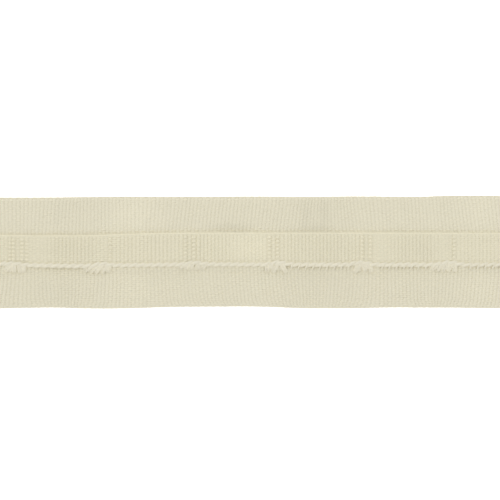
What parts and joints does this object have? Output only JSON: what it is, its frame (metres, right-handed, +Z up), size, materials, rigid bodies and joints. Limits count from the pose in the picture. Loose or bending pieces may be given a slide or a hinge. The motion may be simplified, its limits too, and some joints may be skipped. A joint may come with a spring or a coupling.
{
  "type": "cut length of roman blind tape",
  "caption": "Flat length of ribbed woven blind tape with a raised band of shallow cord pockets along the middle of its face.",
  "frame": {"origin": "middle of the flat back, where the tape rests", "axes": "+X along the tape, +Y across it towards its upper edge, +Z up from the back to the pocket side"},
  "size_m": [0.1424, 0.0254, 0.0026],
  "materials": {
    "ground_cloth": "matt cream polyester weave, ribbed across",
    "band_cloth": "matt cream polyester weave, ribbed across, with a thick pale edge strand"
  },
  "bodies": {
    "root": {"ground_tape": "ground_cloth", "pocket_band": "band_cloth"}
  },
  "joints": []
}
